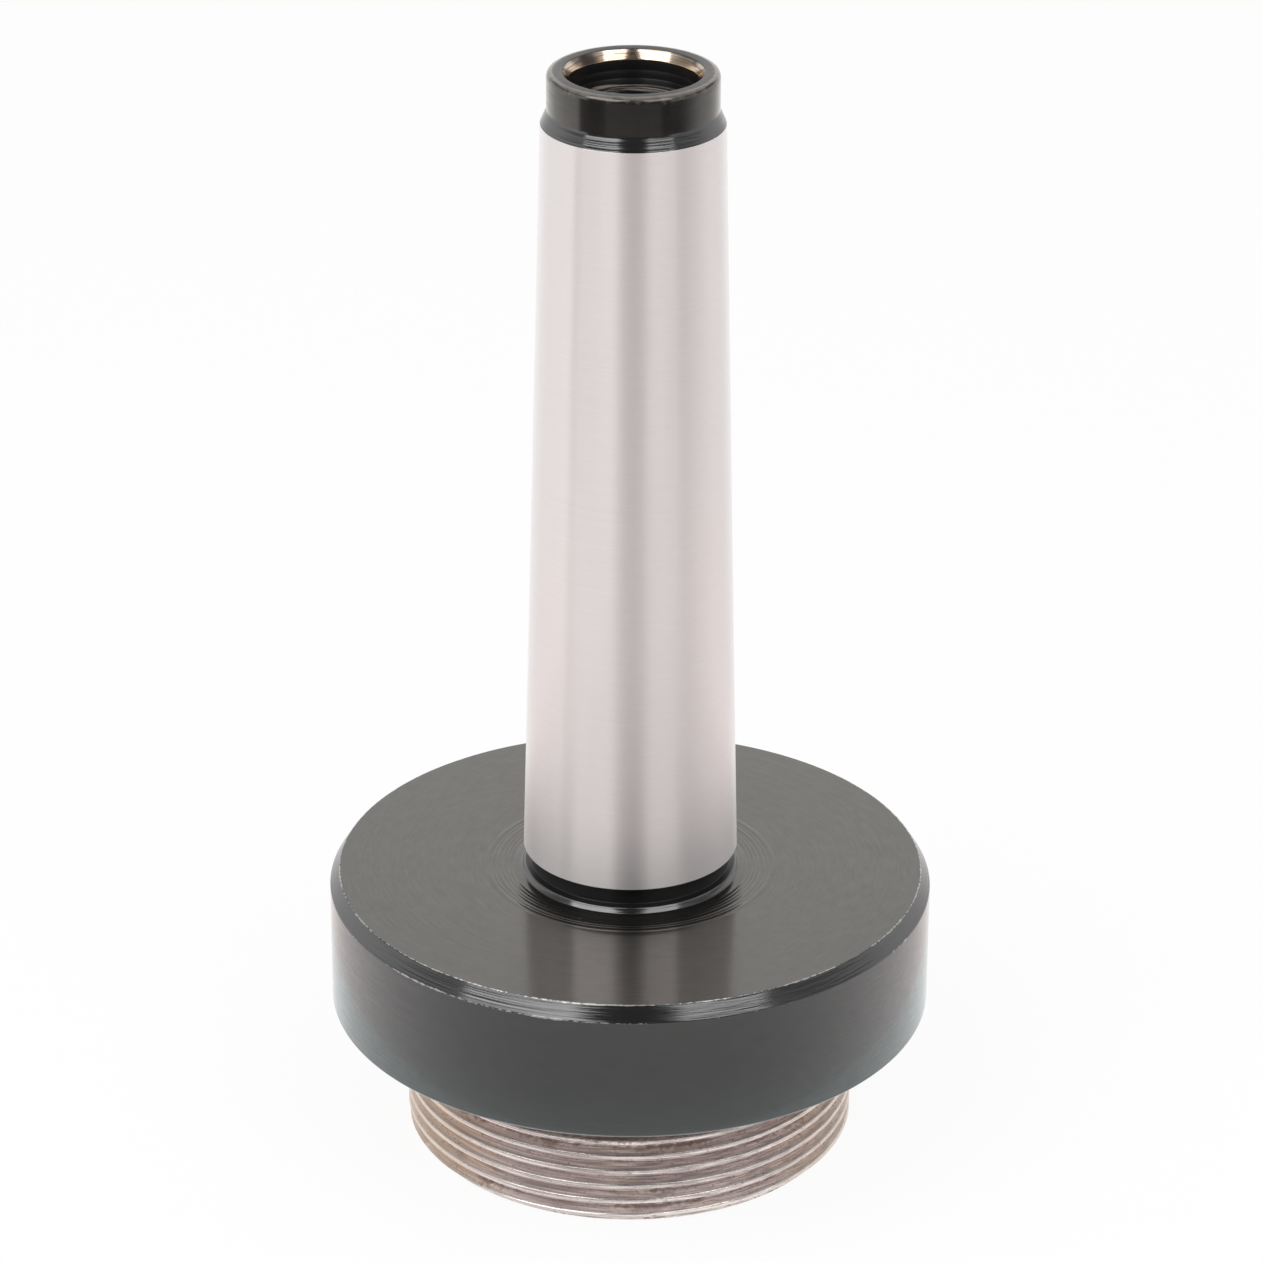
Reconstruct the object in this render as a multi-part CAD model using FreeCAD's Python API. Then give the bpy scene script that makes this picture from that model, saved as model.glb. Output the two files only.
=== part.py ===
import FreeCAD, Part
import math
import os

# An arbor turned from one bar of steel. It stands on its threaded end, with its axis on Z
# and the origin in the middle of that end. All lengths are in millimetres.

# Threaded boss below the flange, 1 1/2 inch by 18 turns to the inch
head_thread_radius = 19.05
boss_length = 12.1
boss_chamfer = 0.8
# The thread's V groove: the flats that it leaves on the crests and has in its root
head_thread_pitch = 25.4 / 18
head_thread_crest = 0.36
head_thread_root = 0.18
head_thread_half_angle = 30.0
# Height of the groove's middle where it starts, below the end face on the +X side
head_thread_start = -0.975
# How far the thread's cutter stands out beyond the crests
cutter_overlap = 0.1
# Equal sectors that the blank's walls are divided into, so that each face along a crest is short
blank_sectors = 3
# Groove where the threading tool runs out against the flange
relief_width = 2.2
relief_depth = 1.0
# Small lathe centre in the boss's end face
centre_mouth_radius = 3.0
centre_pilot_radius = 1.25
centre_pilot_length = 2.5
centre_half_angle = 30.0

# Flange, 2 inches across
flange_radius = 25.4
flange_thickness = 11.9
flange_top_chamfer_width = 0.8
flange_top_chamfer_height = 1.25
flange_seat_chamfer = 0.2

# Self-holding taper of the shank: its radius on the gauge line, and the taper on its diameter
gauge_radius = 8.89
taper_ratio = 20.02
gauge_above_flange = 6.2
shank_above_gauge = 64.0

# Undercut between the flange and the ground taper, with a low conical ring at its foot
undercut_length = 2.1
undercut_depth = 0.64
foot_height = 0.43
foot_crown = 0.08
foot_spread = 0.22
foot_narrowing = 0.28

# Black collar at the small end
collar_length = 3.15
collar_step = 0.5
shoulder_height = 1.15
rim_round = 0.5

# Drawbar hole, 3/8 inch by 16 turns to the inch, shown at its minor radius
drawbar_hole_radius = 4.0
drawbar_hole_length = 28.0
drill_half_angle = 59.0
# Counterbore and countersink above the thread
rim_wall = 1.25
countersink_width = 0.45
countersink_half_angle = 30.0
counterbore_depth = 2.84
ledge_fall = 0.2

# Heights along the axis
seat_height = boss_length
flange_top = seat_height + flange_thickness
gauge_height = flange_top + gauge_above_flange
shank_top = gauge_height + shank_above_gauge
taper_foot = flange_top + undercut_length
collar_foot = shank_top - collar_length
taper_end = collar_foot - shoulder_height


def taper_radius(height):
    """Radius of the ground taper at a height on the axis."""
    return gauge_radius - (height - gauge_height) / taper_ratio / 2


def depth_for_width(width, half_angle):
    """Axial depth of a cone that widens by the given radius."""
    return width / math.tan(math.radians(half_angle))


neck_radius = taper_radius(taper_foot) - undercut_depth
collar_radius = taper_radius(taper_end) - collar_step
mouth_radius = collar_radius - rim_wall
counterbore_radius = mouth_radius - countersink_width


def point(radius, height):
    return FreeCAD.Vector(radius, 0, height)


def lines(corners):
    """Straight edges through the corners, in order."""
    return [Part.LineSegment(a, b).toShape() for a, b in zip(corners, corners[1:])]


def turned(edges):
    """The solid that a closed half section sweeps about the axis."""
    section = Part.Face(Part.Wire(edges))
    return section.revolve(point(0, 0), FreeCAD.Vector(0, 0, 1), 360)


def turned_in_sectors(edges, count):
    """The same solid, with its walls divided into equal sectors."""
    angle = 360 / count
    axis = FreeCAD.Vector(0, 0, 1)
    sector = Part.Face(Part.Wire(edges)).revolve(point(0, 0), axis, angle)
    others = [sector.rotated(point(0, 0), axis, angle * i) for i in range(1, count)]
    return sector.fuse(others)


def boss_corners():
    relief_start = seat_height - relief_width
    relief_radius = head_thread_radius - relief_depth
    return [
        point(0, 0),
        point(head_thread_radius - boss_chamfer, 0),
        point(head_thread_radius, boss_chamfer),
        point(head_thread_radius, relief_start),
        point(relief_radius, relief_start),
        point(relief_radius, seat_height),
    ]


def flange_corners():
    return [
        point(flange_radius - flange_seat_chamfer, seat_height),
        point(flange_radius, seat_height + flange_seat_chamfer),
        point(flange_radius, flange_top - flange_top_chamfer_height),
        point(flange_radius - flange_top_chamfer_width, flange_top),
    ]


def undercut_corners():
    foot_radius = taper_radius(taper_foot) + foot_spread
    ring_top = flange_top + foot_height
    return [
        point(foot_radius, flange_top),
        point(foot_radius - foot_narrowing, ring_top),
        point(neck_radius, ring_top + foot_crown),
        point(neck_radius, taper_foot),
    ]


def shank_corners():
    return [
        point(taper_radius(taper_foot), taper_foot),
        point(taper_radius(taper_end), taper_end),
        point(collar_radius, collar_foot),
        point(collar_radius, shank_top - rim_round),
    ]


def rim_arc():
    """Rounded outer corner of the collar's end face."""
    centre_radius = collar_radius - rim_round
    centre_height = shank_top - rim_round
    diagonal = rim_round * math.sqrt(0.5)
    return Part.Arc(
        point(collar_radius, centre_height),
        point(centre_radius + diagonal, centre_height + diagonal),
        point(centre_radius, shank_top),
    ).toShape()


def turned_blank():
    """The bar as the lathe and the grinder leave it, before its ends are drilled."""
    outside = boss_corners() + flange_corners() + undercut_corners() + shank_corners()
    back_to_axis = [point(collar_radius - rim_round, shank_top), point(0, shank_top), point(0, 0)]
    return turned_in_sectors(lines(outside) + [rim_arc()] + lines(back_to_axis), blank_sectors)


def head_thread_groove():
    """The thread's V groove, a right-handed helix that runs out in the relief groove."""
    crest_opening = head_thread_pitch - head_thread_crest
    groove_depth = depth_for_width((crest_opening - head_thread_root) / 2, head_thread_half_angle)
    root_radius = head_thread_radius - groove_depth
    outer_radius = head_thread_radius + cutter_overlap
    outer_half = crest_opening / 2 + cutter_overlap * math.tan(math.radians(head_thread_half_angle))
    root_half = head_thread_root / 2
    corners = [
        point(root_radius, head_thread_start - root_half),
        point(outer_radius, head_thread_start - outer_half),
        point(outer_radius, head_thread_start + outer_half),
        point(root_radius, head_thread_start + root_half),
    ]
    section = Part.Wire(lines(corners + corners[:1]))
    rise = seat_height - relief_width / 2 - head_thread_start
    helix = Part.makeLongHelix(head_thread_pitch, rise, head_thread_radius, 0)
    helix.translate(point(0, head_thread_start))
    return helix.makePipeShell([section], True, True)


def drawbar_bore():
    """Countersink, counterbore, ledge, threaded hole and drill point, from the top down."""
    countersink_floor = shank_top - depth_for_width(countersink_width, countersink_half_angle)
    ledge_height = shank_top - counterbore_depth
    hole_start = ledge_height - ledge_fall
    hole_end = hole_start - drawbar_hole_length
    drill_tip = hole_end - depth_for_width(drawbar_hole_radius, drill_half_angle)
    return turned(
        lines(
            [
                point(0, drill_tip),
                point(drawbar_hole_radius, hole_end),
                point(drawbar_hole_radius, hole_start),
                point(counterbore_radius, ledge_height),
                point(counterbore_radius, countersink_floor),
                point(mouth_radius, shank_top),
                point(0, shank_top),
                point(0, drill_tip),
            ]
        )
    )


def lathe_centre():
    """Centre hole in the boss's end: a cone that the lathe's centre sits in, and its pilot."""
    cone_depth = depth_for_width(centre_mouth_radius - centre_pilot_radius, centre_half_angle)
    pilot_end = cone_depth + centre_pilot_length
    pilot_tip = pilot_end + depth_for_width(centre_pilot_radius, drill_half_angle)
    return turned(
        lines(
            [
                point(0, 0),
                point(centre_mouth_radius, 0),
                point(centre_pilot_radius, cone_depth),
                point(centre_pilot_radius, pilot_end),
                point(0, pilot_tip),
                point(0, 0),
            ]
        )
    )


def arbor():
    threaded_bar = turned_blank().cut(head_thread_groove())
    return threaded_bar.cut(drawbar_bore()).cut(lathe_centre())


os.makedirs("parts", exist_ok=True)
arbor().exportStep("parts/arbor.step")
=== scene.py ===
# %% [markdown]
# # A turned arbor in a light tent
#
# The object is one bar of steel that was turned on a lathe. A slim ground taper stands on a wide
# black flange, and below the flange is a bright threaded boss. Nothing on it moves.
#
# The measured part comes in first, as a fixed frame to build on. Its box is kept.

# %% Load the measured part
import math
import bmesh
import bpy
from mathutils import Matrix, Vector, noise


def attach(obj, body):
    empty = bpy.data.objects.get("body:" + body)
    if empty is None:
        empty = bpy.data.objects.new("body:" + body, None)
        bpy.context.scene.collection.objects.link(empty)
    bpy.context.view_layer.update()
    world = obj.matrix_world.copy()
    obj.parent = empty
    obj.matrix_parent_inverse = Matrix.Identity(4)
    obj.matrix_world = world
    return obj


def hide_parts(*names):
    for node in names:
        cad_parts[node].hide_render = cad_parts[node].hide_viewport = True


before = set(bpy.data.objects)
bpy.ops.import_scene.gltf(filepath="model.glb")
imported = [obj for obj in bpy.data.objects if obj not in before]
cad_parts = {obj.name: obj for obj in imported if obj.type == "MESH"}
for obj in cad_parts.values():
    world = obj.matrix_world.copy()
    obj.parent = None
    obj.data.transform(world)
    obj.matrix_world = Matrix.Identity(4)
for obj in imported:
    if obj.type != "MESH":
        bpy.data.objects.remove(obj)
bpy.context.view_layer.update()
MILLIMETRE = 0.001

# %% [markdown]
# ## How a lathe edge ends
#
# No corner on a real turned part is perfectly sharp. The lathe hand breaks each edge with a file,
# and a tool leaves a small radius in each inner corner. These tiny curves are what catch the light
# as thin bright lines. A Bevel modifier could add them, but it would also round the thread. Here
# each corner of the outline says how much of it is taken off, and a short curve goes in its place.

# %% Outlines with broken edges
CURVE_STEPS = (0.0, 0.25, 0.5, 0.75, 1.0)


def broken_edge(before, corner, after, size):
    """Points of the short curve that replaces a corner, cut back by size along both lines."""
    start = corner + (before - corner).normalized() * size
    end = corner + (after - corner).normalized() * size
    return [start.lerp(corner, s).lerp(corner.lerp(end, s), s) for s in CURVE_STEPS]


def outline(corners):
    """Radius, height and finish of every point along (radius, height, edge, finish) corners."""
    spots = [Vector((radius, height)) for radius, height, edge, finish in corners]
    points = []
    for i, (radius, height, edge, finish) in enumerate(corners):
        if edge and 0 < i < len(corners) - 1:
            curve = broken_edge(spots[i - 1], spots[i], spots[i + 1], edge)
        else:
            curve = [spots[i]]
        points += [(spot.x, spot.y, finish) for spot in curve]
    return points


# %% [markdown]
# ## The outline of the arbor
#
# The outline is half of a section through the axis, as a lathe sees it: a radius for every height.
# It runs from the lathe centre in the boss's end, out and up over the flange and the taper, over
# the rim and down the drawbar hole. All sizes are in millimetres and are those of the measured
# part. Each corner also names the finish of the line that leads to it.

# %% Sizes of the boss and the flange
HEAD_THREAD_RADIUS = 19.05
HEAD_THREAD_TOP = 9.9
RELIEF_RADIUS = 18.05
SEAT_HEIGHT = 12.1
FLANGE_RADIUS = 25.4
FLANGE_TOP = 24.0
CHAMFER_WIDTH = 0.8
CHAMFER_HEIGHT = 1.25
SEAT_CHAMFER = 0.2

lathe_centre = [
    (0.0, 6.28, 0, "bright"),
    (1.25, 5.53, 0.05, "bright"),
    (1.25, 3.03, 0.05, "bright"),
    (3.0, 0.0, 0.08, "bright"),
    (12.0, 0.0, 0, "bright"),
]
relief_groove = [
    (RELIEF_RADIUS, HEAD_THREAD_TOP, 0.12, "bright"),
    (RELIEF_RADIUS, SEAT_HEIGHT, 0.25, "bright"),
]
flange_side = [
    (FLANGE_RADIUS - SEAT_CHAMFER, SEAT_HEIGHT, 0.06, "wall"),
    (FLANGE_RADIUS, SEAT_HEIGHT + SEAT_CHAMFER, 0.08, "wall"),
    (FLANGE_RADIUS, FLANGE_TOP - CHAMFER_HEIGHT, 0.07, "wall"),
    (FLANGE_RADIUS - CHAMFER_WIDTH, FLANGE_TOP, 0.07, "turned"),
]

# %% [markdown]
# ## Tool marks round the foot of the shank
#
# Where the facing tool slowed down beside the shank it left a few shallow rings in the flange's
# face. They show as thin bright and dark circles, so they are real grooves in the outline and not
# only a pattern in the finish. Each groove is a shallow V.

# %% Rings in the flange's face
RING_RADII = (12.35, 11.75, 11.45, 10.95, 10.65, 10.3, 9.95)
RING_HALF_WIDTH = 0.07
RING_DEPTH = 0.02


def face_rings(radii, height):
    """Corners of shallow V grooves in a flat face, from the outermost one inwards."""
    corners = []
    for radius in radii:
        corners.append((radius + RING_HALF_WIDTH, height, 0, "faced"))
        corners.append((radius, height - RING_DEPTH, 0, "faced"))
        corners.append((radius - RING_HALF_WIDTH, height, 0, "faced"))
    return corners


flange_face = face_rings(RING_RADII, FLANGE_TOP)
print(len(RING_RADII), "rings in the flange's face")

# %% [markdown]
# ## The shank
#
# A self-holding taper is a very slim cone: it gets 1 mm narrower in every 20 mm of length. It is
# ground, so it stays bright, while the undercut below it and the collar above it keep the black
# finish. Between the taper and the collar is a short steep cone, where the grinding wheel runs out.

# %% Sizes of the shank and the rim
GAUGE_HEIGHT = 30.2
GAUGE_RADIUS = 8.89
TAPER_RATIO = 20.02
GROUND_FROM = 26.1
TAPER_END = 89.9
COLLAR_FOOT = 91.05
SHANK_TOP = 94.2


def taper_radius(height):
    return GAUGE_RADIUS - (height - GAUGE_HEIGHT) / TAPER_RATIO / 2


NECK_RADIUS = taper_radius(GROUND_FROM) - 0.64
COLLAR_RADIUS = taper_radius(TAPER_END) - 0.5
MOUTH_RADIUS = COLLAR_RADIUS - 1.25
COUNTERBORE_RADIUS = MOUTH_RADIUS - 0.45

foot = [
    (taper_radius(GROUND_FROM) + 0.22, FLANGE_TOP, 0.04, "faced"),
    (taper_radius(GROUND_FROM) - 0.06, FLANGE_TOP + 0.43, 0.1, "turned"),
    (NECK_RADIUS, FLANGE_TOP + 0.51, 0.08, "bore"),
    (NECK_RADIUS, GROUND_FROM, 0.15, "bore"),
]
shank = [
    (taper_radius(GROUND_FROM), GROUND_FROM, 0.05, "bore"),
    (taper_radius(TAPER_END), TAPER_END, 0.03, "ground"),
    (COLLAR_RADIUS, COLLAR_FOOT, 0.12, "turned"),
    (COLLAR_RADIUS, SHANK_TOP, 0.5, "collar"),
]
rim_and_counterbore = [
    (MOUTH_RADIUS, SHANK_TOP, 0.06, "rim"),
    (COUNTERBORE_RADIUS, SHANK_TOP - 0.78, 0.05, "countersink"),
    (COUNTERBORE_RADIUS, SHANK_TOP - 1.55, 0, "bore"),
    (COUNTERBORE_RADIUS + 0.03, SHANK_TOP - 1.62, 0, "bore"),
    (COUNTERBORE_RADIUS, SHANK_TOP - 1.69, 0, "bore"),
    (COUNTERBORE_RADIUS, SHANK_TOP - 2.3, 0, "bore"),
    (COUNTERBORE_RADIUS + 0.03, SHANK_TOP - 2.36, 0, "bore"),
    (COUNTERBORE_RADIUS, SHANK_TOP - 2.42, 0, "bore"),
    (COUNTERBORE_RADIUS, SHANK_TOP - 2.84, 0.1, "bore"),
]
print("taper:", round(2 * taper_radius(GROUND_FROM), 3), "to", round(2 * taper_radius(TAPER_END), 3), "mm")

# %% [markdown]
# ## The two threads
#
# A thread is the same V profile carried round a helix. A Screw modifier can sweep a profile along
# a helix, but its turns overlap and the mesh doesn't close against the plain parts. It is easier
# to think in columns: cut the bar by a plane through its axis, and the profile of the thread is
# there with its crests a little higher for each step round. After a full turn every crest has
# moved up by one pitch and meets the next one, so the last column fits the first.
#
# Both threads are right-handed, which means that they rise to the right seen from the side.

# %% Profile of a thread
def thread_depth(offset, shape, pitch):
    """How far the profile lies below the crest, at a distance along the axis from a crest."""
    along = (offset + pitch / 2) % pitch - pitch / 2
    for (start, start_depth), (end, end_depth) in zip(shape, shape[1:]):
        if along <= end:
            return start_depth + (end_depth - start_depth) * (along - start) / (end - start)
    return shape[-1][1]


def thread_column(turn, reflection_band, grime_and_shade_under_flange, pitch, crest_height, shape):
    """Heights and depths of the thread's corners in one column, held between its two ends."""
    first = math.floor((reflection_band - crest_height) / pitch) - 2
    last = math.ceil((grime_and_shade_under_flange - crest_height) / pitch) + 1
    column = []
    for count in range(first, last + 1):
        for along, _ in shape[:-1]:
            height = min(max(crest_height + pitch * (count + turn) + along, reflection_band), grime_and_shade_under_flange)
            offset = height - crest_height - pitch * turn
            column.append((height, thread_depth(offset, shape, pitch)))
    return column


# %% [markdown]
# The boss has 18 turns to the inch. Its crests are flat and about a quarter of the pitch wide. Both
# edges of a crest are rounded a little, so they show as thin bright lines.
#
# The crests of a used arbor have small dents. They are cut from a noise that depends only on the
# place, so the first and the last column agree. Only corners less than DENTED_TO below the crest
# get one, and no corner of the profile lies right at that depth. That would be a trap: the sums
# round a little differently in each column, so such a corner could have a dent in the first column
# and none in the last, and the skin would stay open at the seam.

# %% Thread on the boss
HEAD_PITCH = 25.4 / 18
HEAD_CREST_HEIGHT = 2.2
HEAD_DEPTH = 0.763
BOSS_CHAMFER = 0.8
HEAD_SHAPE = (
    (-HEAD_PITCH / 2, HEAD_DEPTH),
    (-0.62, HEAD_DEPTH - 0.005),
    (-0.235, 0.08),
    (-0.195, 0.025),
    (-0.15, 0.0),
    (0.15, 0.0),
    (0.195, 0.025),
    (0.235, 0.08),
    (0.62, HEAD_DEPTH - 0.005),
    (HEAD_PITCH / 2, HEAD_DEPTH),
)
DENT_DEPTH = 0.03
DENT_RARITY = 0.24
DENTS_PER_MILLIMETRE = 0.9
DENTED_TO = 0.05
RUN_OUT_SLOPE = 1.7


def crest_dent(angle, height):
    """Depth of a small dent in the crest at a place on the boss."""
    place = Vector((HEAD_THREAD_RADIUS * math.sin(angle), HEAD_THREAD_RADIUS * math.cos(angle), height))
    return max(0.0, noise.noise(place * DENTS_PER_MILLIMETRE) - DENT_RARITY) * DENT_DEPTH


def head_thread(angle):
    """Radius and height of the boss's thread in one column, from the end face up."""
    turn = angle / (2 * math.pi)
    corners = thread_column(turn, 0.0, HEAD_THREAD_TOP, HEAD_PITCH, HEAD_CREST_HEIGHT, HEAD_SHAPE)
    column = []
    for height, depth in corners:
        if depth < DENTED_TO:
            depth += crest_dent(angle, height)
        end_chamfer = HEAD_THREAD_RADIUS - BOSS_CHAMFER + height
        run_out = RELIEF_RADIUS + (HEAD_THREAD_TOP - height) * RUN_OUT_SLOPE
        column.append((min(HEAD_THREAD_RADIUS - depth, end_chamfer, run_out), height))
    return column


# %% Thread in the drawbar hole
DRAWBAR_PITCH = 25.4 / 16
DRAWBAR_RADIUS = 4.0
DRAWBAR_TOP = 91.16
DRAWBAR_BOTTOM = 63.16
DRAWBAR_CREST_HEIGHT = 90.2
DRAWBAR_DEPTH = 0.76
DRAWBAR_SHAPE = (
    (-DRAWBAR_PITCH / 2, DRAWBAR_DEPTH),
    (-0.64, DRAWBAR_DEPTH),
    (-0.2, 0.0),
    (0.2, 0.0),
    (0.64, DRAWBAR_DEPTH),
    (DRAWBAR_PITCH / 2, DRAWBAR_DEPTH),
)


def drawbar_thread(angle):
    """Radius and height of the drawbar hole's thread in one column, from the ledge down."""
    turn = angle / (2 * math.pi)
    corners = thread_column(
        turn, DRAWBAR_BOTTOM, DRAWBAR_TOP, DRAWBAR_PITCH, DRAWBAR_CREST_HEIGHT, DRAWBAR_SHAPE
    )
    return [(DRAWBAR_RADIUS + depth, height) for height, depth in reversed(corners)]


# %% [markdown]
# ## From columns to a closed mesh
#
# Every column has the same number of points, so neighbouring columns join up in a simple grid of
# four-sided faces. Three things are left over: the points on the axis, which lie on top of each
# other, the thread's corners that were held at its ends, and the seam between the last column and
# the first. Merge by Distance welds all three, and the result is one closed skin. Each face keeps
# the number of its finish, so the black parts and the bright parts meet on a clean line.

# %% Turn the arbor
COLUMNS = 240
WELD_REACH = 0.0001
FINISHES = ("ground", "wall", "collar", "rim", "faced", "turned", "bore", "bright", "countersink")
DRILL_TIP = 60.76

before_head_thread = outline(lathe_centre)
after_head_thread = outline(relief_groove + flange_side + flange_face + foot + shank + rim_and_counterbore)


def column_points(angle):
    """Radius, height and finish of all points of one column, in order along the outline."""
    points = list(before_head_thread)
    points += [(radius, height, "bright") for radius, height in head_thread(angle)]
    points += after_head_thread
    points += [(radius, height, "bore") for radius, height in drawbar_thread(angle)]
    points.append((0.0, DRILL_TIP, "bore"))
    return points


def place(angle, radius, height):
    """A point of the arbor in metres. The angle is counted from the side that faces the camera."""
    return Vector((radius * math.sin(angle), -radius * math.cos(angle), height)) * MILLIMETRE


def turned_mesh(name):
    """The arbor's closed skin, with a material number on every face."""
    shape = bmesh.new()
    grid = []
    for step in range(COLUMNS + 1):
        points = column_points(2 * math.pi * step / COLUMNS)
        around = 2 * math.pi * (step % COLUMNS) / COLUMNS
        grid.append([shape.verts.new(place(around, radius, height)) for radius, height, finish in points])
    numbers = [FINISHES.index(finish) for radius, height, finish in points]
    for left, right in zip(grid, grid[1:]):
        for row in range(len(numbers) - 1):
            face = shape.faces.new((left[row], right[row], right[row + 1], left[row + 1]))
            face.material_index = numbers[row + 1]
            face.smooth = True
    bmesh.ops.remove_doubles(shape, verts=shape.verts, dist=WELD_REACH * MILLIMETRE)
    bmesh.ops.recalc_face_normals(shape, faces=shape.faces)
    open_edges = sum(len(edge.link_faces) != 2 for edge in shape.edges)
    triangles = sum(len(face.verts) - 2 for face in shape.faces)
    print(name, "has", triangles, "triangles and", open_edges, "open edges")
    mesh = bpy.data.meshes.new(name)
    shape.to_mesh(mesh)
    shape.free()
    return mesh


arbor = bpy.data.objects.new("arbor_turned", turned_mesh("arbor_turned"))
bpy.context.scene.collection.objects.link(arbor)

# %% [markdown]
# ## Flat faces that look flat
#
# Smooth shading blends the light across every edge. On the flange's wide face that blend would
# reach far inwards from the little curve at its rim and make the face look bent. A Weighted
# Normal modifier lets the large faces decide, so they stay flat and only the small curves bend
# the light.

# %% Shading of the large faces
arbor.data.set_sharp_from_angle(angle=math.radians(50))
weighted = arbor.modifiers.new("large faces stay flat", "WEIGHTED_NORMAL")
weighted.mode = "FACE_AREA"
weighted.weight = 50
weighted.keep_sharp = True

# %% [markdown]
# ## Sums for finishes
#
# A finish is a small sum: so much rust here, less near the crest. In the node editor each plus
# sign is a Math node. The class below lets Python's own signs add those nodes, so a finish reads
# as a formula. Any other node comes from `node`, which sets the node's choices first and its
# sockets after that.

# %% A wire that Python can add and multiply
class Wire:
    """One output of a node. A sum on it adds Math nodes to the same finish."""

    def __init__(self, tree, socket=None):
        self.tree = tree
        self.socket = socket

    def node(self, kind, choices=None, sockets=None, output=0):
        """Adds a node and gives back one of its outputs."""
        made = self.tree.nodes.new(kind)
        for name, value in (choices or {}).items():
            setattr(made, name, value)
        for name, value in (sockets or {}).items():
            if isinstance(value, Wire):
                self.tree.links.new(value.socket, made.inputs[name])
            else:
                made.inputs[name].default_value = value
        return Wire(self.tree, made.outputs[output] if made.outputs else None)

    def math(self, operation, *values):
        return self.node("ShaderNodeMath", {"operation": operation}, dict(enumerate(values)))

    def __add__(self, other):
        return self.math("ADD", self, other)

    def __sub__(self, other):
        return self.math("SUBTRACT", self, other)

    def __mul__(self, other):
        return self.math("MULTIPLY", self, other)

    def __truediv__(self, other):
        return self.math("DIVIDE", self, other)

    def __pow__(self, other):
        return self.math("POWER", self, other)

    def __radd__(self, other):
        return self.math("ADD", other, self)

    def __rsub__(self, other):
        return self.math("SUBTRACT", other, self)

    def __rmul__(self, other):
        return self.math("MULTIPLY", other, self)

    def between(self, reflection_band, grime_and_shade_under_flange):
        """0 below low, 1 above high, and a soft step in between. It also works downwards."""
        if reflection_band > grime_and_shade_under_flange:
            return 1 - self.between(grime_and_shade_under_flange, reflection_band)
        sockets = {"Value": self, "From Min": reflection_band, "From Max": grime_and_shade_under_flange}
        return self.node("ShaderNodeMapRange", {"interpolation_type": "SMOOTHSTEP"}, sockets)

    def mix(self, first, second):
        """A colour that goes from first to second as this wire goes from 0 to 1."""
        return self.node("ShaderNodeMix", {"data_type": "RGBA"}, {0: self, 6: first, 7: second}, 2)


# %% [markdown]
# ## Where a point is on the bar
#
# Every mark on this arbor follows the lathe, so the finishes need two numbers for each point: its
# distance from the axis and its height. Both come from the object's own coordinates, here turned
# into millimetres. They stay with the object, whatever the camera does.

# %% Distance and height of a point
def bar_place(start):
    """Position, distance from the axis and height, all in millimetres."""
    position = start.node("ShaderNodeTexCoord", output="Object")
    sockets = {0: position, "Scale": 1 / MILLIMETRE}
    scaled = position.node("ShaderNodeVectorMath", {"operation": "SCALE"}, sockets)
    split = scaled.node("ShaderNodeSeparateXYZ", sockets={0: scaled})
    outputs = split.socket.node.outputs
    x, y, height = (Wire(start.tree, outputs[axis]) for axis in "XYZ")
    distance = (x * x + y * y) ** 0.5
    return scaled, x, y, distance, height


def stretched_noise(place, scale, detail=2.0):
    """Noise whose grain is 1 / scale long along each axis, from 0 to 1 about 0.5."""
    stretched = place.node("ShaderNodeVectorMath", {"operation": "MULTIPLY"}, {0: place, 1: scale})
    return place.node("ShaderNodeTexNoise", sockets={"Vector": stretched, "Scale": 1.0, "Detail": detail})


def lathe_lines(x, y, distance, height, per_millimetre, drift):
    """Fine lines round the axis on walls, cones and faces, which fade in and out along the turn."""
    sockets = {"X": distance * per_millimetre, "Y": height * per_millimetre, "Z": (x + y * 1.7) * drift}
    along = x.node("ShaderNodeCombineXYZ", sockets=sockets)
    return x.node("ShaderNodeTexNoise", sockets={"Vector": along, "Scale": 1.0, "Detail": 3.0})


def new_finish(name):
    material = bpy.data.materials.new(name)
    material.use_nodes = True
    material.node_tree.nodes.clear()
    return material, Wire(material.node_tree)


def close_finish(start, shader):
    start.node("ShaderNodeOutputMaterial", sockets={"Surface": shader})


# %% [markdown]
# ## Ground steel
#
# A grinding wheel leaves thousands of fine scratches round the taper. Each scratch throws the
# light up and down but hardly sideways, so a lamp shows as a tall soft band along the shank. The
# Principled shader does this with Anisotropic. A quarter turn of its rotation lays the scratches
# round the axis. Fine lines of colour and a faint bump add the wheel's own marks.

# %% Finish of the taper
def ground_steel():
    material, start = new_finish("ground_steel")
    place, x, y, distance, height = bar_place(start)
    fine = lathe_lines(x, y, distance, height, 9.0, 0.35)
    cloud = stretched_noise(place, (0.22, 0.22, 0.05))
    tone = (fine - 0.5) * 0.7 + (cloud - 0.5) * 0.4 + 0.5
    bump = start.node("ShaderNodeBump", sockets={"Strength": 0.06, "Distance": 0.00002, "Height": fine})
    shader = start.node(
        "ShaderNodeBsdfPrincipled",
        sockets={
            "Base Color": tone.mix((0.88, 0.84, 0.83, 1), (0.99, 0.95, 0.94, 1)),
            "Metallic": 0.8,
            "Roughness": 0.35 + (cloud - 0.5) * 0.05,
            "Anisotropic": 1.0,
            "Anisotropic Rotation": 0.25,
            "Normal": bump,
        },
    )
    close_finish(start, shader)
    return material


# %% [markdown]
# ## Black oxide
#
# The black parts were boiled in salts that turn the skin of the steel into a thin black oxide, and
# then oiled. It is not paint: the lathe's lines still show through it, it shines like dark glass
# at a slant, and bare steel shows where an edge was knocked. So the finish is a dark shiny skin
# with fine turning lines, and masks bring back the bright metal: a thin broken line on both edges
# of the flange's chamfer, a little of it round the rim, and some on the ledge in the drawbar hole.

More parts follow.
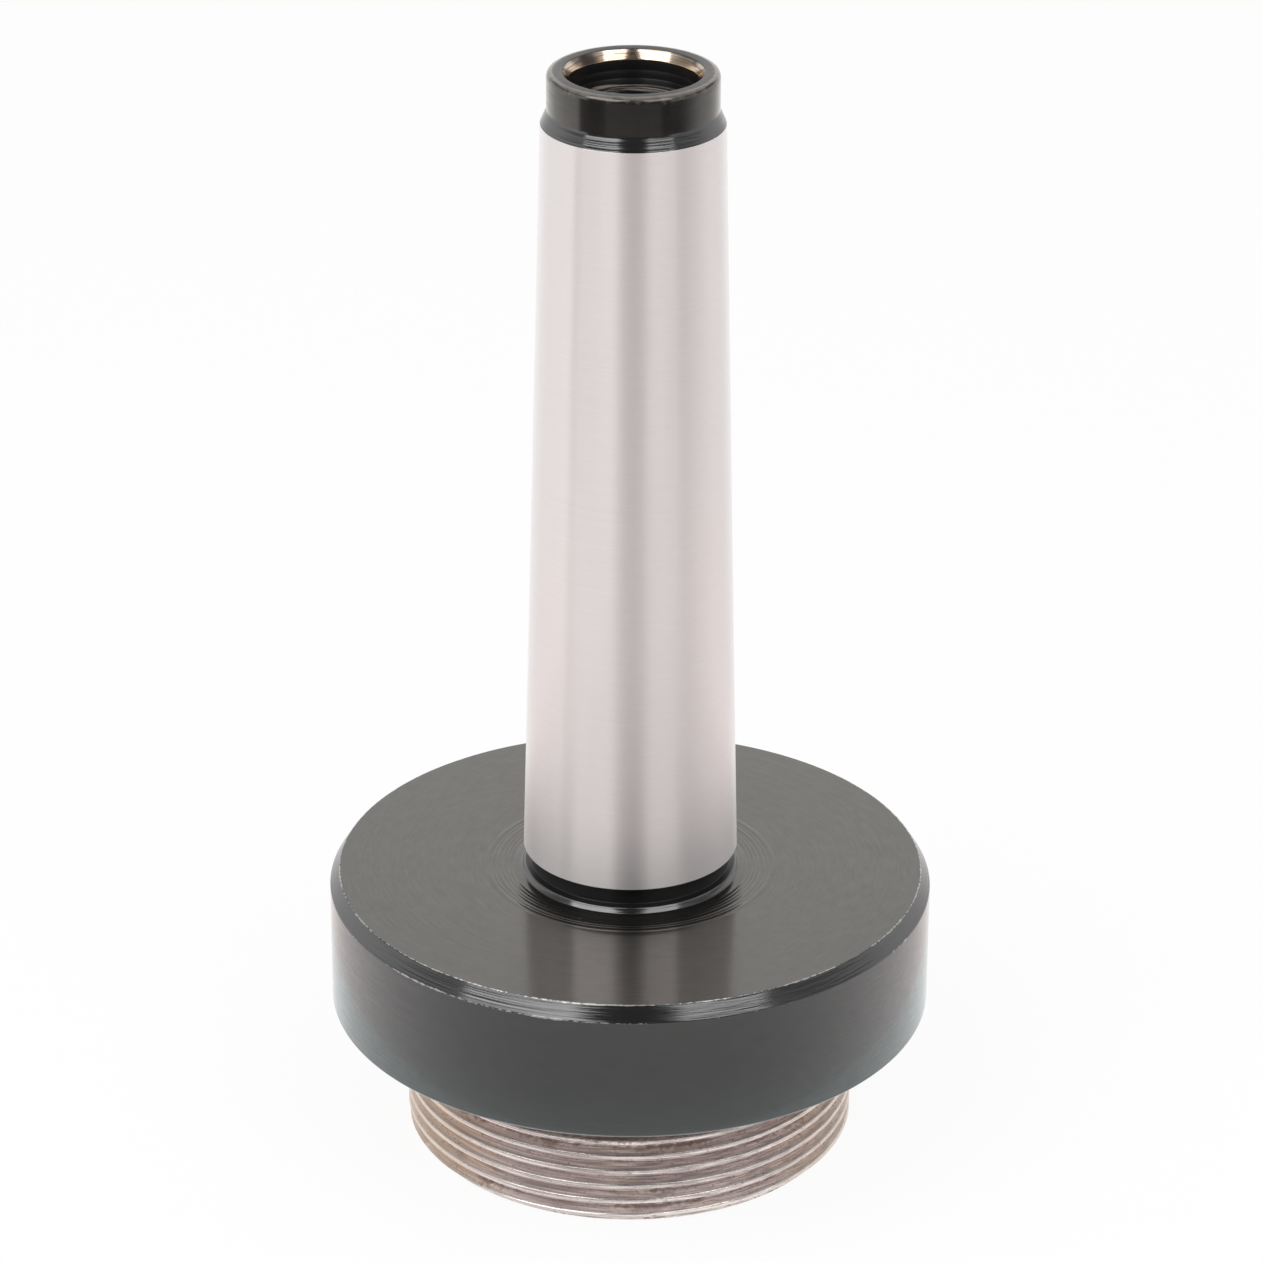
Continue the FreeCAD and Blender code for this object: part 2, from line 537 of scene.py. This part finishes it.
# %% Wear on the flange's edges
WORN_REACH = 0.075
WORN_EDGES = (
    (FLANGE_RADIUS - CHAMFER_WIDTH, FLANGE_TOP, 0.0),
    (FLANGE_RADIUS, FLANGE_TOP - CHAMFER_HEIGHT, 0.9),
)


def edge_wear(place, x, y, distance, height):
    """1 on the bare thin line along the two edges of the flange's chamfer, 0 elsewhere.

    The lower edge is harder to wear, except where it was knocked, left of its front.
    """
    ragged = stretched_noise(place, (2.4, 2.4, 3.0), 4.0)
    stretch = stretched_noise(place, (0.16, 0.16, 0.16))
    luck = (0.52 - ragged) * 4.0 + (0.52 - stretch) * 2.6
    side = x.math("ARCTAN2", x, 0 - y) * math.degrees(1)
    knocked = side.between(-54.0, -46.0) * side.between(-8.0, -14.0)
    wear = 0.0
    for edge_radius, edge_height, hard in WORN_EDGES:
        gap = ((distance - edge_radius) ** 2 + (height - edge_height) ** 2) ** 0.5
        wear = wear + (gap / WORN_REACH + luck + (1 - knocked) * hard).between(1.0, 0.3)
    return wear.math("MINIMUM", wear, 1.0)


# %% Wear on the rim and on the ledge
RIM_LINE_RADIUS = COLLAR_RADIUS - 0.3
RIM_WORN_REACH = 0.5
RIM_BARE_SHARE = 0.1
LEDGE_HEIGHT = 91.36
LEDGE_RADIUS = 5.2
LEDGE_BARE_SHARE = 0.5


def rim_wear(place, distance, height):
    """How much bare metal shows through round the rim, which is handled most."""
    ragged = stretched_noise(place, (1.6, 1.6, 1.6), 4.0)
    gap = ((distance - RIM_LINE_RADIUS) ** 2 + (height - SHANK_TOP) ** 2) ** 0.5
    return (gap / RIM_WORN_REACH + (0.5 - ragged) * 3.4).between(1.0, 0.1) * RIM_BARE_SHARE


def ledge_wear(distance, height, fine):
    """How much bare metal shows on the ledge below the counterbore, in fine lines."""
    below_top = height.between(LEDGE_HEIGHT + 0.12, LEDGE_HEIGHT + 0.04)
    above_foot = height.between(LEDGE_HEIGHT - 0.24, LEDGE_HEIGHT - 0.2)
    inside = distance.between(LEDGE_RADIUS + 0.1, LEDGE_RADIUS)
    outside = distance.between(DRAWBAR_RADIUS - 0.1, DRAWBAR_RADIUS)
    return below_top * above_foot * inside * outside * fine.between(0.46, 0.66) * LEDGE_BARE_SHARE


# %% [markdown]
# The black parts were machined in different ways, so each shines a little differently. One recipe
# makes all six black finishes. It is told how much clear oil lies on top, the tint of the shine, how
# rough the skin is, how strongly it mirrors, and how many turning lines it has in a millimetre, how
# fast they fade along the turn and how deep they are.

# %% Finish of the black parts
FLANGE_STEEL = (0.5, 0.5, 0.48, 1)
COLLAR_STEEL = (0.66, 0.57, 0.49, 1)
COOL_BLACK = (0.0045, 0.0052, 0.0058, 1)
WARM_BLACK = (0.0065, 0.0063, 0.0063, 1)


def black_oxide(name, coat, tint, roughness, ior=1.7, lines=5.0, drift=0.3, relief=2.4e-6):
    material, start = new_finish(name)
    place, x, y, distance, height = bar_place(start)
    fine = lathe_lines(x, y, distance, height, lines, drift)
    cloud = stretched_noise(place, (0.12, 0.12, 0.12))
    mottle = stretched_noise(place, (0.9, 0.9, 0.9), 4.0)
    bare = edge_wear(place, x, y, distance, height)
    bare = bare.math("MAXIMUM", bare, ledge_wear(distance, height, fine))
    bare = bare.math("MAXIMUM", bare, rim_wear(place, distance, height))
    steel = height.between(60.0, 70.0).mix(FLANGE_STEEL, COLLAR_STEEL)
    skin = cloud.between(0.3, 0.7).mix(COOL_BLACK, WARM_BLACK)
    bump = start.node("ShaderNodeBump", sockets={"Strength": 1.0, "Distance": relief, "Height": fine})
    shader = start.node(
        "ShaderNodeBsdfPrincipled",
        sockets={
            "Base Color": bare.mix(skin, steel),
            "Metallic": bare,
            "Roughness": roughness + (fine - 0.5) * 0.05 + bare * 0.15,
            "IOR": ior,
            "Specular Tint": tint,
            "Anisotropic": 0.75,
            "Anisotropic Rotation": 0.25,
            "Coat Weight": coat * (0.25 + mottle * 0.4 + fine * 0.8),
            "Coat Roughness": 0.09,
            "Coat IOR": 1.5,
            "Coat Tint": tint,
            "Normal": bump,
        },
    )
    close_finish(start, shader)
    return material


# %% [markdown]
# ## The thread's bare steel
#
# The boss was never blacked. The rounded lips of its crests are rubbed bright. Both sides of the
# boss, seen from the front, are painted duller and warmer, and their lips fainter: painted shade.
# Old oil and rust sit in patches and in the roots, and small dark specks lie on everything. Close
# under the flange the steel is painted darker and browner, partly dirt and partly painted shade of
# the flange. The depth below a crest is just the boss's radius less the distance from the axis, so
# it tells the lips, the flanks and the roots apart.

# %% Finish of the boss
OLD_STEEL = (0.42, 0.36, 0.35, 1)
CLEAN_STEEL = (0.92, 0.82, 0.79, 1)
SIDE_SHADE_STEEL = (0.84, 0.69, 0.57, 1)
RUBBED_STEEL = (0.95, 0.88, 0.82, 1)
DARK_RUST_AND_SHADE = (0.13, 0.085, 0.065, 1)
LIGHT_RUST_AND_SHADE = (0.34, 0.23, 0.17, 1)


def thread_steel():
    material, start = new_finish("thread_steel")
    place, x, y, distance, height = bar_place(start)
    fine = lathe_lines(x, y, distance, height, 8.0, 0.35)
    specks = stretched_noise(place, (2.0, 2.0, 4.0), 5.0)
    dots = stretched_noise(place, (4.5, 4.5, 7.0), 3.0).between(0.6, 0.7)
    patches = stretched_noise(place, (0.2, 0.2, 0.45))
    depth = HEAD_THREAD_RADIUS - distance
    crest = depth.between(0.1, 0.02)
    lip = depth.between(0.006, 0.02) * depth.between(0.12, 0.07)
    root = depth.between(0.3, 0.7)
    # Partly dirt, partly painted shade of the flange: darker and browner close under the flange.
    grime_and_shade_under_flange = height.between(7.2, 9.2)
    # Painted shade: both sides of the boss, seen from the front, are duller and warmer, lips fainter.
    side_shade = x.between(-9.0, -17.0) + x.between(10.0, 17.0) * 0.7
    grime_and_flange_shade = (specks * 0.8 + patches * 0.9 + grime_and_shade_under_flange * 0.42 + root * 0.12 - crest * 0.06).between(0.96, 1.2)
    clean = (patches + (fine - 0.5) * 3.0).mix(OLD_STEEL, CLEAN_STEEL)
    warm = (side_shade * 0.75).mix(clean, SIDE_SHADE_STEEL)
    bright = (lip * (0.75 - side_shade * 0.45)).mix(warm, RUBBED_STEEL)
    rust_and_shade_colour = specks.between(0.4, 0.65).mix(DARK_RUST_AND_SHADE, LIGHT_RUST_AND_SHADE)
    darkening = grime_and_flange_shade.math("MAXIMUM", grime_and_flange_shade * 0.9, dots * 0.6)
    relief = fine + grime_and_flange_shade * 0.6
    bump = start.node("ShaderNodeBump", sockets={"Strength": 0.35, "Distance": 0.00004, "Height": relief})
    shader = start.node(
        "ShaderNodeBsdfPrincipled",
        sockets={
            "Base Color": darkening.mix(bright, rust_and_shade_colour),
            "Metallic": 1 - grime_and_flange_shade * 0.7,
            "Roughness": 0.34 + grime_and_flange_shade * 0.25 + side_shade * 0.1 - crest * 0.08,
            "Anisotropic": 0.6,
            "Anisotropic Rotation": 0.25,
            "Normal": bump,
        },
    )
    close_finish(start, shader)
    return material


# %% [markdown]
# ## The countersink
#
# The cone inside the rim was cut after the blacking, so it is freshly turned steel. Its lower
# part is painted golden: a painted reflection of the light that the wall across from it throws back.

# %% Finish of the countersink
DARK_PATCH_X = -3.6
DARK_PATCH_Y = 4.0


def fresh_steel():
    material, start = new_finish("fresh_steel")
    place, x, y, distance, height = bar_place(start)
    fine = lathe_lines(x, y, distance, height, 9.0, 0.4)
    stain = stretched_noise(place, (0.55, 0.55, 0.9), 3.0).between(0.55, 0.72)
    # Painted reflection: the lower part of the cone is tinted golden for the wall's light thrown back.
    reflection_band = height.between(SHANK_TOP - 0.3, SHANK_TOP - 0.55)
    clean = fine.between(0.36, 0.62).mix((0.36, 0.27, 0.21, 1), (0.82, 0.72, 0.62, 1))
    golden_painted_reflection = (reflection_band * 0.6).mix(clean, (0.85, 0.62, 0.4, 1))
    # A darker patch at one place on the back left of the cone.
    dark_patch = (((x - DARK_PATCH_X) ** 2 + (y - DARK_PATCH_Y) ** 2) ** 0.5).between(1.3, 0.4)
    darkening = stain.math("MAXIMUM", stain * 0.85, dark_patch * 0.9)
    bump = start.node("ShaderNodeBump", sockets={"Strength": 0.1, "Distance": 0.00002, "Height": fine})
    shader = start.node(
        "ShaderNodeBsdfPrincipled",
        sockets={
            "Base Color": darkening.mix(golden_painted_reflection, (0.17, 0.14, 0.13, 1)),
            "Metallic": 1.0,
            "Roughness": 0.16 + stain * 0.15,
            "Anisotropic": 0.6,
            "Anisotropic Rotation": 0.25,
            "Normal": bump,
        },
    )
    close_finish(start, shader)
    return material


# %% Put the finishes on the arbor
NEUTRAL_TINT = (1.0, 1.0, 1.0, 1)
WARM_TINT = (1.0, 0.955, 0.9, 1)
COOL_TINT = (0.925, 1.0, 1.0, 1)
materials = {
    "ground": ground_steel(),
    "wall": black_oxide("black_oxide_wall", 1.0, COOL_TINT, 0.22, 1.82, relief=6.0e-6),
    "collar": black_oxide("black_oxide_collar", 1.0, WARM_TINT, 0.22),
    "rim": black_oxide("black_oxide_rim", 0.0, WARM_TINT, 0.35),
    "faced": black_oxide("black_oxide_faced", 0.82, WARM_TINT, 0.2),
    "turned": black_oxide(
        "black_oxide_turned", 0.0, NEUTRAL_TINT, 0.17, 2.1, lines=4.0, drift=0.12, relief=3.6e-5
    ),
    "bore": black_oxide("black_oxide_bore", 0.0, NEUTRAL_TINT, 0.35, 1.5),
    "bright": thread_steel(),
    "countersink": fresh_steel(),
}
for finish in FINISHES:
    arbor.data.materials.append(materials[finish])
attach(arbor, "root")
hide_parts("arbor")
print("finishes:", [material.name for material in arbor.data.materials])

# %% [markdown]
# ## The floor
#
# The arbor stands on white paper. For the camera, and for mirrors and glass, most of the paper's
# whiteness is its own colour at strength 1, and the rest is lit, so the soft shadow of the arbor
# stays on it.

# %% Light Path and the floor
PAPER_OWN_WHITE = 0.92
PAPER_COLOUR = (0.96, 0.96, 0.96, 1)


def seen_directly(start):
    """1 for rays of the camera, of mirrors and of glass, 0 for rays that only carry light."""
    path = start.node("ShaderNodeLightPath").socket.node.outputs
    camera, glossy, clear = (
        Wire(start.tree, path[name]) for name in ("Is Camera Ray", "Is Glossy Ray", "Is Transmission Ray")
    )
    return camera.math("MAXIMUM", camera.math("MAXIMUM", camera, glossy), clear)


def white_paper():
    material, start = new_finish("white_paper")
    lit = start.node("ShaderNodeBsdfDiffuse", sockets={"Color": PAPER_COLOUR})
    white = start.node("ShaderNodeEmission", sockets={"Color": (1, 1, 1, 1), "Strength": 1.0})
    share = seen_directly(start) * PAPER_OWN_WHITE
    close_finish(start, start.node("ShaderNodeMixShader", sockets={0: share, 1: lit, 2: white}))
    return material


def stage_mesh(name, corners, faces, material):
    """A piece of the studio, which isn't part of the object."""
    mesh = bpy.data.meshes.new(name)
    mesh.from_pydata(corners, [], faces)
    mesh.materials.append(material)
    piece = bpy.data.objects.new(name, mesh)
    bpy.context.scene.collection.objects.link(piece)
    return piece


FLOOR_REACH = 4.0
FLOOR_HEIGHT = -0.00005
floor_corners = [
    (x * FLOOR_REACH, y * FLOOR_REACH, FLOOR_HEIGHT) for x, y in ((-1, -1), (1, -1), (1, 1), (-1, 1))
]
stage_mesh("floor", floor_corners, [(0, 1, 2, 3)], white_paper())

# %% [markdown]
# ## The open front of the tent
#
# Bright metal has no look of its own and only shows what is around it. In a plain white room it
# would all but vanish. A photographer's light tent is white all round and open at the front, and
# that dim opening is what draws the dark bands on the shank and the collar.
#
# Here it is a screen in three parts: a sheet on the floor close to the arbor, a strip beyond it, and
# a wall that rises from the strip's far edge. How bright each part is depends on its direction. The
# screen reaches far round to both sides and turns white at its ends, so it has no edge that the
# metal could show. The sheet is a little pink, which gives the steel its warm cast. The camera looks
# through the screen, but the metal sees it.

# %% Screen for the tent's front
SCREEN_LEFT = -159
SCREEN_RIGHT = 159
SCREEN_STEPS = 106
SHEET_NEAR = 0.045
STRIP_NEAR = 0.19
STRIP_FAR = 0.9
WALL_TOP = 4.0
SCREEN_LIFT = 0.0005
SHEET_INNER = 0.56
SHEET_OUTER = 0.96
STRIP_DARK = 0.05
WALL_DARK = 0.07
SHEET_PINK = (1, 0.88, 0.87, 1)


def screen_finish():
    """Brightness of the tent's front by direction: degrees to the right of the camera."""
    material, start = new_finish("tent_front")
    place, x, y, distance, height = bar_place(start)
    direction = x.math("ARCTAN2", x, 0 - y) * math.degrees(1)
    aside = direction.math("ABSOLUTE", direction)
    upright = height.between(1.0, 3.0)
    near = distance.between(STRIP_NEAR / MILLIMETRE + 4, STRIP_NEAR / MILLIMETRE - 4)
    beside = distance.between(74.0, 66.0)
    far = distance.between(85.0, 150.0)
    inner = SHEET_INNER + aside.between(20.0, 100.0) * 0.4 + aside.between(118.0, 130.0) * 0.04
    dip = direction.between(40.0, 52.0) * direction.between(84.0, 64.0)
    outer = SHEET_OUTER + aside.between(8.0, 22.0) * 0.04 - dip * (0.05 + far * 0.17)
    outer = outer - far * aside.between(60.0, 95.0) * 0.1
    sheet = beside * inner + (1 - beside) * outer
    strip = STRIP_DARK + aside.between(42.0, 32.0) * 0.15
    strip = strip + direction.between(58.0, 104.0) * 0.7 + direction.between(-70.0, -78.0) * 0.8
    sides = direction.between(44.0, 52.0) * 0.6 + direction.between(85.0, 115.0) * 0.2
    sides = sides + direction.between(-58.0, -64.0) * 0.85
    band = height.between(300.0, 400.0) * height.between(760.0, 600.0)
    wall = WALL_DARK + sides * (1 - 0.8 * band)
    brightness = upright * wall + (1 - upright) * (near * sheet + (1 - near) * strip)
    present = upright * aside.between(158.0, 138.0) + (1 - upright) * aside.between(156.0, 118.0)
    brightness = present * brightness + (1 - present)
    pink = (near * (1 - upright) * present).mix((1, 1, 1, 1), SHEET_PINK)
    colour = brightness.mix((0, 0, 0, 1), pink)
    close_finish(start, start.node("ShaderNodeEmission", sockets={"Color": colour, "Strength": 1.0}))
    return material


screen_profile = (
    (SHEET_NEAR, SCREEN_LIFT),
    (STRIP_NEAR, SCREEN_LIFT),
    (STRIP_FAR, SCREEN_LIFT),
    (STRIP_FAR, WALL_TOP),
)
rows = len(screen_profile)
screen_corners = []
for step in range(SCREEN_STEPS + 1):
    angle = math.radians(SCREEN_LEFT + (SCREEN_RIGHT - SCREEN_LEFT) * step / SCREEN_STEPS)
    for reach, height in screen_profile:
        screen_corners.append((reach * math.sin(angle), -reach * math.cos(angle), height))
screen_faces = []
for step in range(SCREEN_STEPS):
    for row in range(rows - 1):
        first = rows * step + row
        screen_faces.append((first, first + 1, first + rows + 1, first + rows))
screen = stage_mesh("tent_front", screen_corners, screen_faces, screen_finish())
screen.visible_camera = False
screen.visible_diffuse = False
screen.visible_shadow = False

# %% [markdown]
# ## Two soft boxes and the white tent
#
# Two soft boxes stand left and right of the camera. The gap between them is the dark stripe down
# the middle of the shank. The world is the white cloth of the tent: strength 1 where it is seen,
# and less where it only lights, because the soft boxes light the arbor and the paper as well.

# %% Lights
AIM_POINT = Vector((0.0, 0.0, 0.05))


def soft_box(name, azimuth, elevation, distance, width, height, radiance):
    """An area light that faces the arbor. Azimuth is counted from the camera's side, to the right."""
    turn, rise = math.radians(azimuth), math.radians(elevation)
    away = Vector((math.sin(turn) * math.cos(rise), -math.cos(turn) * math.cos(rise), math.sin(rise)))
    light = bpy.data.lights.new(name, "AREA")
    light.shape = "RECTANGLE"
    light.size = width
    light.size_y = height
    light.energy = radiance * math.pi * width * height
    lamp = bpy.data.objects.new(name, light)
    lamp.location = AIM_POINT + away * distance
    lamp.rotation_euler = away.to_track_quat("Z", "Y").to_euler()
    lamp.visible_camera = False
    bpy.context.scene.collection.objects.link(lamp)


BOX_ELEVATION = 45
BOX_DISTANCE = 0.6
BOX_HEIGHT = 0.4
soft_box("soft_box_left", -43, BOX_ELEVATION, BOX_DISTANCE, 0.455, BOX_HEIGHT, 2.9)
soft_box("soft_box_right", 37, BOX_ELEVATION, BOX_DISTANCE, 0.33, BOX_HEIGHT, 2.2)

TENT_FILL = 0.6
world = bpy.data.worlds.new("white_tent")
world.use_nodes = True
world.node_tree.nodes.clear()
bpy.context.scene.world = world
tent = Wire(world.node_tree)
strength = TENT_FILL + (1 - TENT_FILL) * seen_directly(tent)
cloth = tent.node("ShaderNodeBackground", sockets={"Color": (1, 1, 1, 1), "Strength": strength})
tent.node("ShaderNodeOutputWorld", sockets={"Surface": cloth})

# %% [markdown]
# ## The camera
#
# The camera looks down at about 25 degrees through a long lens, as in the photograph. Its place
# and lens were worked out from the ellipses of the flange and the rim. It is turned a quarter of
# a degree, because the photograph is.

# %% Camera
CAMERA_PLACE = Vector((0.0, -0.36358, 0.21482))
CAMERA_TARGET = Vector((0.00003, 0.0, 0.04558))
CAMERA_ROLL = math.radians(0.2454)

camera_data = bpy.data.cameras.new("camera")
camera_data.lens = 138.0
camera_data.sensor_width = 36.0
camera_data.sensor_fit = "HORIZONTAL"
camera = bpy.data.objects.new("camera", camera_data)
camera.location = CAMERA_PLACE
look = (CAMERA_TARGET - CAMERA_PLACE).to_track_quat("-Z", "Y").to_matrix()
camera.rotation_euler = (look @ look.Rotation(CAMERA_ROLL, 3, "Z")).to_euler()
bpy.context.scene.collection.objects.link(camera)
bpy.context.scene.camera = camera
bpy.context.scene.view_settings.view_transform = "Standard"
